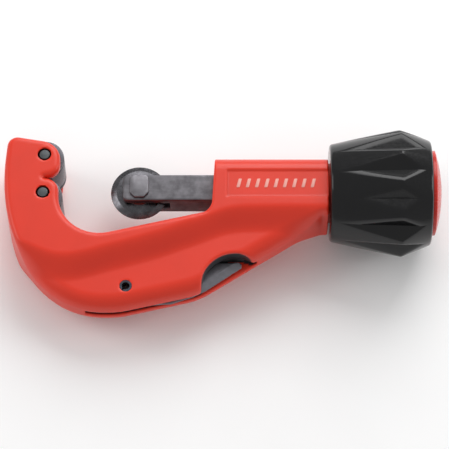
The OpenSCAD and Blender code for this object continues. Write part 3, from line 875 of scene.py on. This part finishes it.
def powder_coat(colour, casting):
    """Powder coat on die-cast alloy: satin, with a fine orange peel, a painted highlight along the edges and
    painted shade in the creases.

    A point attribute turns it into painted shade inside the openings: a dark colour that stands in for the
    shade there.
    """
    surface = {"Roughness": 0.36, "Coat Weight": 0.1, "Coat Roughness": 0.22, "Specular IOR Level": 0.4}
    material, tree, shader, place = start_material("powder_coat", surface)
    tone = add_node(tree, "TexNoise", {"Vector": place, "Scale": 0.09, "Detail": 3.0})
    # Painted highlight and painted shade: pointiness makes convex edges paler and creases darker, standing
    # in for the light on the edges and the shade in the creases.
    toned = add_node(tree, "NewGeometry").outputs["Pointiness"]
    base = ramp(tree, tone.outputs["Fac"], (0.3, shade(colour, 0.93)), (0.7, shade(colour, 1.04)))
    edges = ramp(tree, toned, (0.47, shade(colour, 0.72)), (0.5, rgba(colour)), (0.56, shade(colour, 1.25)))
    paint_colour = mix_colour(tree, 0.45, base, edges)
    # Painted shade: the point attribute turns the colour to the dark one that stands in for the shade inside
    # the openings.
    opening_shade = add_node(tree, "Attribute", attribute_name="opening_shade").outputs["Fac"]
    tree.links.new(mix_colour(tree, opening_shade, paint_colour, rgba(casting)), shader.inputs["Base Color"])
    # Real orange peel is about 0.5 to 1 mm across; it is drawn at 0.9 mm.
    peel = add_node(tree, "TexNoise", {"Vector": place, "Scale": 1.1, "Detail": 2.0})
    grain = add_node(tree, "TexNoise", {"Vector": place, "Scale": 5.0, "Detail": 2.0})
    rough = ramp(tree, grain.outputs["Fac"], (0.3, grey(0.3)), (0.7, grey(0.42)))
    tree.links.new(rough, shader.inputs["Roughness"])
    bump(tree, shader, peel.outputs["Fac"], 0.03, 0.5)
    return material


def mark_paint(colour):
    """Pad-printed paint: flat and slightly chalky."""
    material, tree, shader, place = start_material("pad_print", {"Roughness": 0.6})
    fleck = add_node(tree, "TexNoise", {"Vector": place, "Scale": 3.0, "Detail": 3.0})
    tone = ramp(tree, fleck.outputs["Fac"], (0.35, shade(colour, 0.9)), (0.65, rgba(colour)))
    tree.links.new(tone, shader.inputs["Base Color"])
    return material


def moulded(name, colour, roughness):
    """Injection-moulded plastic: glossy, with faint flow tone and tiny handling marks."""
    surface = {"Roughness": roughness, "IOR": 1.5, "Specular IOR Level": 0.4}
    material, tree, shader, place = start_material(name, surface)
    flow = add_node(tree, "TexNoise", {"Vector": place, "Scale": 0.12, "Detail": 4.0, "Distortion": 0.6})
    tone = ramp(tree, flow.outputs["Fac"], (0.3, shade(colour, 0.85)), (0.7, shade(colour, 1.15)))
    tree.links.new(tone, shader.inputs["Base Color"])
    handling = add_node(tree, "TexNoise", {"Vector": place, "Scale": 1.6, "Detail": 5.0})
    rough = ramp(tree, handling.outputs["Fac"], (0.35, grey(roughness * 0.8)), (0.7, grey(roughness * 1.5)))
    tree.links.new(rough, shader.inputs["Roughness"])
    skin = add_node(tree, "TexNoise", {"Vector": place, "Scale": 1.2, "Detail": 2.0})
    bump(tree, shader, skin.outputs["Fac"], 0.006, 0.4)
    return material


def moulded_black(colour):
    """Glass-filled nylon from a polished mould: near black, with sharp highlights along the facets."""
    return moulded("moulded_nylon", colour, 0.15)


def moulded_red(colour):
    """Polished ABS: an even red whose highlight is a little softer than the handwheel's."""
    return moulded("moulded_abs", colour, 0.22)


def metal(name, colour, roughness, lines, scale, depth, dark):
    """Metal with tool lines and stains.

    Noise stretched along the axes where lines is small varies its roughness and height, and
    broad stains vary its tone, down to dark times the colour.
    """
    material, tree, shader, place = start_material(name, {"Metallic": 1.0, "Roughness": roughness})
    stretch = add_node(tree, "Mapping", {"Vector": place, "Scale": lines})
    line = add_node(tree, "TexNoise", {"Vector": stretch.outputs[0], "Scale": scale, "Detail": 4.0})
    stain = add_node(tree, "TexNoise", {"Vector": place, "Scale": 0.35, "Detail": 4.0})
    tone = ramp(tree, stain.outputs["Fac"], (0.3, shade(colour, dark)), (0.7, shade(colour, 1.12)))
    tree.links.new(tone, shader.inputs["Base Color"])
    rough = ramp(tree, line.outputs["Fac"], (0.3, grey(roughness * 0.75)), (0.7, grey(roughness * 1.3)))
    tree.links.new(rough, shader.inputs["Roughness"])
    bump(tree, shader, line.outputs["Fac"], depth, 0.6)
    return material


def black_oxide(colour):
    """Milled steel blackened in a hot salt bath: dark, with fine lengthwise lines."""
    return metal("black_oxide_steel", colour, 0.42, (0.06, 1, 1), 3.0, 0.008, 0.6)


def axle_finish(colour):
    """Blackened steel in a lighter tone than the slide's, for the axle with its raised head."""
    return metal("rubbed_steel", colour, 0.38, (1, 1, 1), 2.0, 0.01, 0.8)


def tool_steel(colour):
    """Hardened and ground tool steel: dark grey, mottled, with a sharp highlight."""
    return metal("hardened_tool_steel", colour, 0.27, (1, 1, 1), 1.3, 0.012, 0.55)


def ground_steel(colour):
    """Centreless-ground steel, oiled dark: fine rings round each roller catch the light."""
    return metal("ground_steel", colour, 0.3, (0.1, 0.1, 1), 6.0, 0.004, 0.85)


def dark_steel():
    """Dowel pin ends, oiled and slightly tarnished: mid grey and dull, with soft stains."""
    return metal("dowel_steel", linear("5a5e60"), 0.42, (1, 1, 1), 2.0, 0.01, 0.7)


def blade_steel(colour):
    """Stamped and ground carbon steel: mid grey, with faint lines along the blade."""
    return metal("ground_blade_steel", colour, 0.38, (0.25, 1, 1), 3.0, 0.006, 0.85)


def zinc_plate():
    """Bright zinc plate on turned steel: silvery, with fine turning rings."""
    return metal("zinc_plate", linear("c9cbd0"), 0.3, (1, 0.2, 0.2), 3.0, 0.004, 0.9)


def spring_steel():
    """Blued spring steel: dark blue-grey, with a fairly sharp highlight."""
    return metal("blued_spring_steel", linear("4c4e57"), 0.32, (1, 1, 1), 2.0, 0.004, 0.8)


def bearing_bronze():
    """Sintered bronze: brownish yellow, with the fine pores of pressed powder."""
    return metal("sintered_bronze", linear("b58a4e"), 0.45, (1, 1, 1), 5.0, 0.01, 0.8)


def build_hardware():
    """The small steel and bronze pieces keep their CAD shape and get their finish."""
    finishes = {
        zinc_plate: ("feed_screw", "thrust_washer_front", "thrust_washer_rear", "knob_insert", "knob_washer",
                     "knob_nut", "spare_wheel_screw"),
        spring_steel: ("axle_clip", "retaining_ring", "friction_washer", "reamer_spring", "reamer_pin"),
        bearing_bronze: ("bearing_bush",),
    }
    for finish, names in finishes.items():
        material = finish()
        for name in names:
            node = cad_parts[name]
            node.data.materials.clear()
            node.data.materials.append(material)


# ---------------------------------------------------------------- stage


# The floor and the target are in metres, the sensor in millimetres, and a lamp is
# (name, offset from the target in metres, size in metres, power in watts).
FLOOR_HALF, WORLD_STRENGTH, SENSOR = 4, 0.5, 36
TARGET = (0.0606, -0.01155, 0)
LAMPS = (
    ("key", (0.2, 0.66, 0.58), 0.7, 5.4),
    ("fill", (-0.65, 0.1, 0.5), 0.4, 1.5),
    ("side", (0.8, 0.1, 0.3), 0.3, 1.2),
)


def build_stage(settings):
    """Floor that the hook and the handwheel's ridge rest on, soft studio lights and the camera."""
    scene = bpy.context.scene
    hook_end = Vector((FRAME_LOW[0] * MM, 0, FRAME_LOW[2] * MM))
    ridge_end = Vector(((KNOB_LOW[0] + RIDGE_PLACE) * MM, 0, KNOB_LOW[2] * MM))
    along = (ridge_end - hook_end).normalized()
    middle, side = (hook_end + ridge_end) / 2, Vector((0, 1, 0))
    signs = ((-1, -1), (1, -1), (1, 1), (-1, 1))
    corners = [middle + along * a * FLOOR_HALF + side * b * FLOOR_HALF for a, b in signs]
    mesh = bpy.data.meshes.new("floor")
    mesh.from_pydata([tuple(c) for c in corners], [], [(0, 1, 2, 3)])
    floor = bpy.data.objects.new("floor", mesh)
    scene.collection.objects.link(floor)
    surface = {"Roughness": 0.9, "Specular IOR Level": 0.1}
    material, tree, shader, place = start_material("matt_board", surface)
    fibre = add_node(tree, "TexNoise", {"Vector": place, "Scale": 0.02, "Detail": 2.0})
    tone = ramp(tree, fibre.outputs["Fac"], (0.3, shade(settings.floor, 0.97)), (0.7, rgba(settings.floor)))
    tree.links.new(tone, shader.inputs["Base Color"])
    floor.data.materials.append(material)
    floor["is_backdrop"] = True

    world = bpy.data.worlds.new("studio")
    world.use_nodes = True
    background = world.node_tree.nodes["Background"]
    background.inputs["Color"].default_value = (1, 1, 1, 1)
    background.inputs["Strength"].default_value = WORLD_STRENGTH
    scene.world = world
    scene.view_settings.view_transform = "Standard"

    target = Vector(TARGET)
    for name, offset, size, power in LAMPS:
        light = bpy.data.lights.new(name, "AREA")
        light.shape, light.size, light.energy = "SQUARE", size, power
        lamp = bpy.data.objects.new(name, light)
        scene.collection.objects.link(lamp)
        lamp.location = target + Vector(offset)
        lamp.rotation_euler = (-Vector(offset)).to_track_quat("-Z", "Y").to_euler()

    data = bpy.data.cameras.new("camera")
    data.sensor_width = SENSOR
    data.lens = SENSOR * settings.distance / settings.width
    data.clip_start, data.clip_end = 0.01, 20
    camera = bpy.data.objects.new("camera", data)
    scene.collection.objects.link(camera)
    back = Vector((0, -math.cos(settings.elevation), math.sin(settings.elevation)))
    camera.location = target + back * settings.distance * MM
    camera.rotation_euler = (-back).to_track_quat("-Z", "Y").to_euler()
    scene.camera = camera


# ---------------------------------------------------------------- operators and panel


class CUTTER_OT_frame(bpy.types.Operator):
    """Build the cast frame and its panel marks"""

    bl_idname = "cutter.frame"
    bl_label = "Cast frame"

    def execute(self, context):
        build_frame(context.scene.cutter_frame)
        return {"FINISHED"}


class CUTTER_OT_rollers(bpy.types.Operator):
    """Build the two rollers and their pins"""

    bl_idname = "cutter.rollers"
    bl_label = "Rollers"

    def execute(self, context):
        build_rollers(context.scene.cutter_feed)
        return {"FINISHED"}


class CUTTER_OT_slide(bpy.types.Operator):
    """Build the square slide and the wheel's axle"""

    bl_idname = "cutter.slide"
    bl_label = "Slide"

    def execute(self, context):
        build_slide(context.scene.cutter_feed)
        return {"FINISHED"}


class CUTTER_OT_wheels(bpy.types.Operator):
    """Build the cutter wheel and the spare one"""

    bl_idname = "cutter.wheels"
    bl_label = "Cutter wheels"

    def execute(self, context):
        build_wheels(context.scene.cutter_feed)
        return {"FINISHED"}


class CUTTER_OT_handwheel(bpy.types.Operator):
    """Build the handwheel and its end cap"""

    bl_idname = "cutter.handwheel"
    bl_label = "Handwheel"

    def execute(self, context):
        build_handwheel(context.scene.cutter_handwheel)
        build_cap(context.scene.cutter_handwheel)
        return {"FINISHED"}


class CUTTER_OT_reamer(bpy.types.Operator):
    """Build the folding blade"""

    bl_idname = "cutter.reamer"
    bl_label = "Reamer"

    def execute(self, context):
        build_reamer(context.scene.cutter_reamer)
        return {"FINISHED"}


class CUTTER_OT_hardware(bpy.types.Operator):
    """Give the small pieces their finish"""

    bl_idname = "cutter.hardware"
    bl_label = "Hardware"

    def execute(self, context):
        build_hardware()
        return {"FINISHED"}


class CUTTER_OT_stage(bpy.types.Operator):
    """Build the floor, the lights and the camera"""

    bl_idname = "cutter.stage"
    bl_label = "Stage"

    def execute(self, context):
        build_stage(context.scene.cutter_stage)
        return {"FINISHED"}


OPERATORS = (
    CUTTER_OT_frame, CUTTER_OT_rollers, CUTTER_OT_slide, CUTTER_OT_wheels,
    CUTTER_OT_handwheel, CUTTER_OT_reamer, CUTTER_OT_hardware, CUTTER_OT_stage,
)


class CUTTER_PT_panel(bpy.types.Panel):
    """Lists the pieces of the pipe cutter"""

    bl_label = "Pipe cutter"
    bl_idname = "CUTTER_PT_panel"
    bl_space_type = "VIEW_3D"
    bl_region_type = "UI"
    bl_category = "Pipe Cutter"

    def draw(self, context):
        for operator in OPERATORS:
            self.layout.operator(operator.bl_idname)
        for name, group in SETTINGS.items():
            box = self.layout.box()
            for key in group.__annotations__:
                box.prop(getattr(context.scene, name), key)


def register():
    for group in SETTINGS.values():
        bpy.utils.register_class(group)
    for cls in (*OPERATORS, CUTTER_PT_panel):
        bpy.utils.register_class(cls)
    for name, group in SETTINGS.items():
        setattr(bpy.types.Scene, name, bpy.props.PointerProperty(type=group))


def unregister():
    for name in SETTINGS:
        delattr(bpy.types.Scene, name)
    for cls in (CUTTER_PT_panel, *reversed(OPERATORS), *SETTINGS.values()):
        bpy.utils.unregister_class(cls)


def main():
    register()
    bpy.ops.cutter.stage()
    bpy.ops.cutter.frame()
    bpy.ops.cutter.rollers()
    bpy.ops.cutter.slide()
    bpy.ops.cutter.wheels()
    bpy.ops.cutter.handwheel()
    bpy.ops.cutter.reamer()
    bpy.ops.cutter.hardware()
    boxes = {"cad": CAD_BOX, "visual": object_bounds()}
    {name: [list(corner) for corner in box] for name, box in boxes.items()}


if __name__ == "__main__":
    main()
